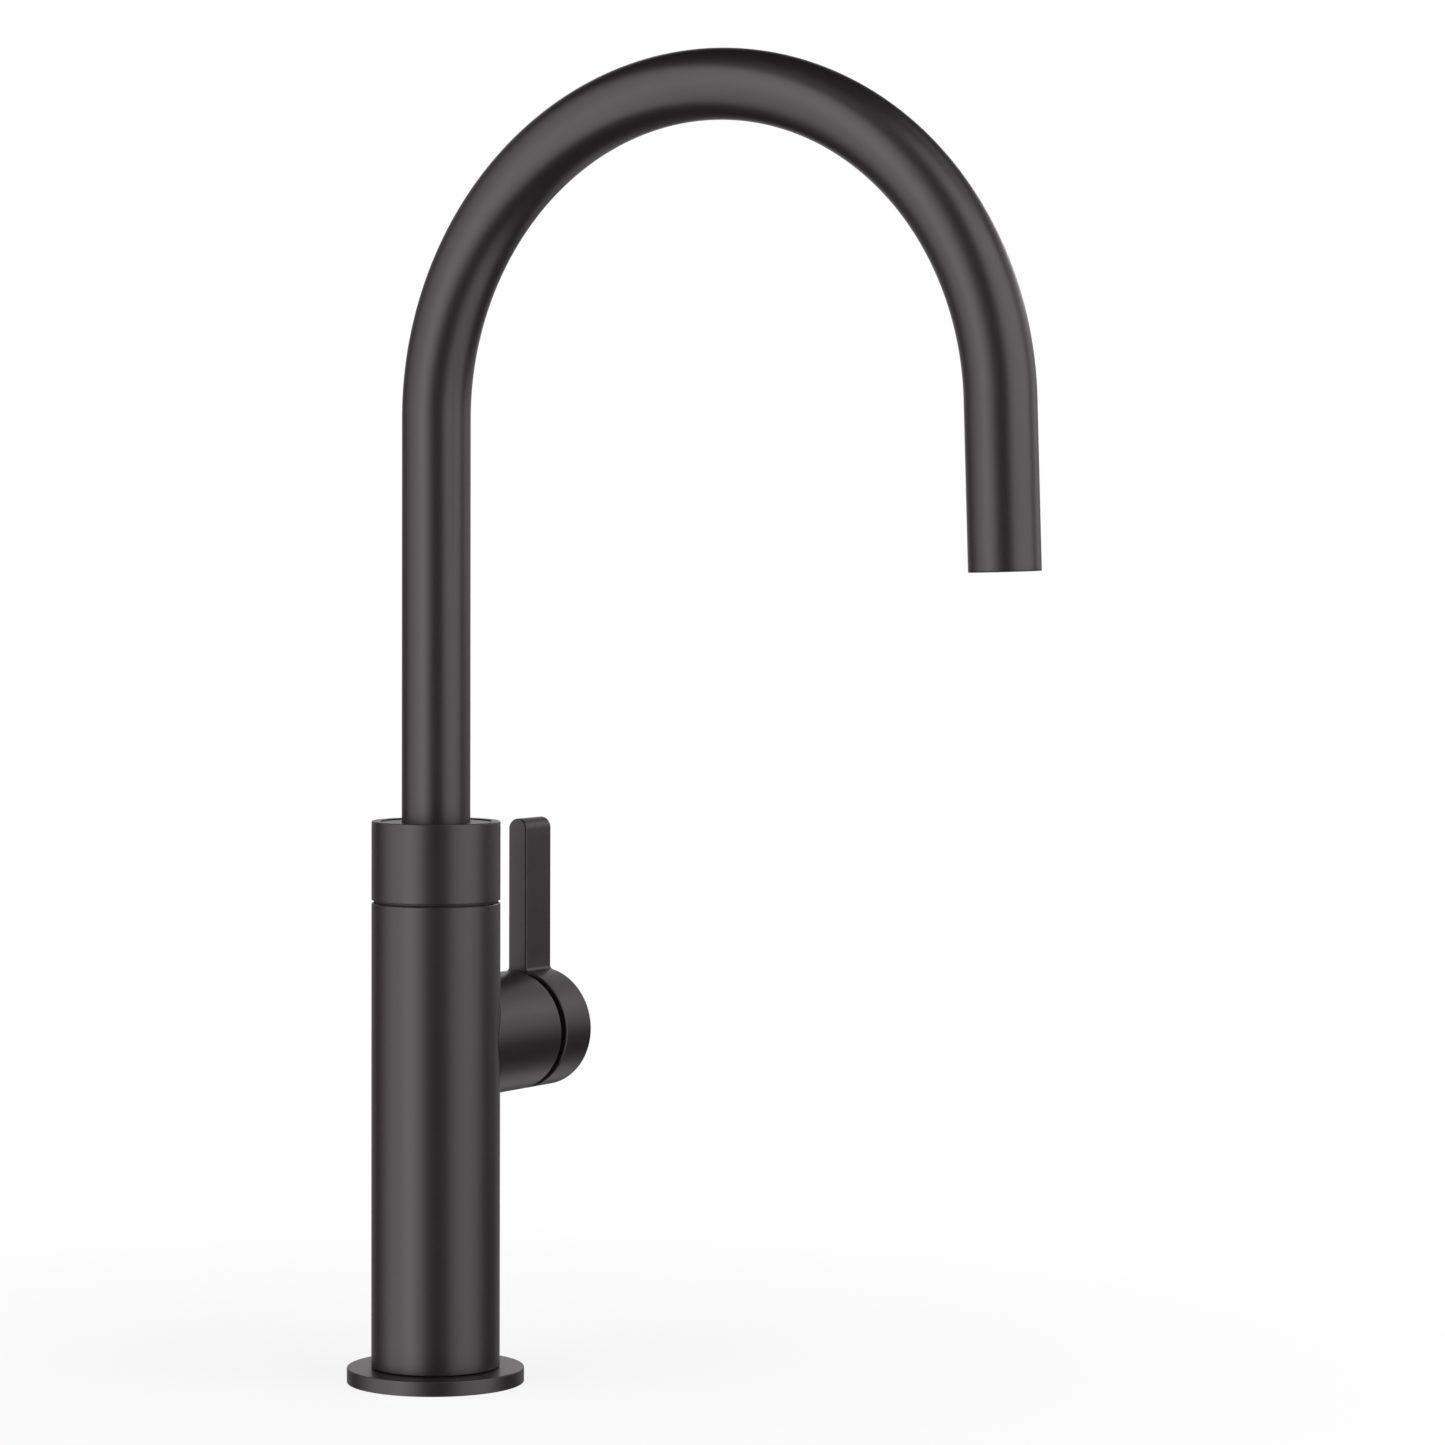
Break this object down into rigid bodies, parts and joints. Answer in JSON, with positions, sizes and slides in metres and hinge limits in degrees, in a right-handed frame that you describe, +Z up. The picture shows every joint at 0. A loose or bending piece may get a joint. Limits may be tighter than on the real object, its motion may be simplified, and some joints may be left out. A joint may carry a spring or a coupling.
{
  "type": "beverage faucet",
  "caption": "Slim beverage faucet: column on a round deck flange, swivelling gooseneck spout and an upright lever on a side valve.",
  "frame": {"origin": "centre of the deck flange's underside, on the column's axis, at the mouth of the mounting thread", "axes": "+Z up the column, -Y the way the spout points at rest, +X along the valve towards the lever"},
  "size_m": [0.0659, 0.1773, 0.3065],
  "materials": {
    "anthracite_coat": "dark anthracite, fine satin coat",
    "brass": "turned",
    "ceramic": "lapped",
    "seal_rubber": "matt",
    "black_plastic": "fine matt",
    "pale_plastic": "moulded",
    "stainless": "turned"
  },
  "bodies": {
    "column": {"base_flange": "anthracite_coat", "base_seal": "seal_rubber", "column_shell": "anthracite_coat", "valve_body": "brass", "spout_lock_screw": "stainless", "glide_ring": "black_plastic", "valve_carrier": "brass", "carrier_seal": "seal_rubber", "valve_housing": "anthracite_coat", "housing_end_ring": "black_plastic", "cartridge_body": "brass", "cartridge_o_ring": "seal_rubber", "seat_seal": "seal_rubber", "fixed_disc": "ceramic"},
    "spout": {"spout_spigot": "brass", "spigot_o_ring_lower": "seal_rubber", "spigot_o_ring_upper": "seal_rubber", "swivel_collar": "anthracite_coat", "collar_insert": "anthracite_coat", "spout_tube": "anthracite_coat", "outlet_sleeve": "pale_plastic", "flow_straightener": "pale_plastic", "flow_regulator": "pale_plastic", "outlet_seal": "seal_rubber"},
    "lever": {"lever_handle": "anthracite_coat", "handle_set_screw": "stainless", "handle_adapter": "pale_plastic", "valve_stem": "brass", "rotating_disc": "ceramic", "stem_o_ring_inner": "seal_rubber", "stem_o_ring_outer": "seal_rubber", "stop_ring": "pale_plastic", "stem_clip": "stainless"}
  },
  "joints": [
    {"name": "spout_swivel", "type": "hinge", "parent": "column", "child": "spout", "pos_m": [0, 0, 0.1128], "axis": [0, 0, 1], "continuous": true},
    {"name": "lever_turn", "type": "hinge", "parent": "column", "child": "lever", "pos_m": [0, 0, 0.0795], "axis": [1, 0, 0], "range_deg": [0, 90]}
  ]
}
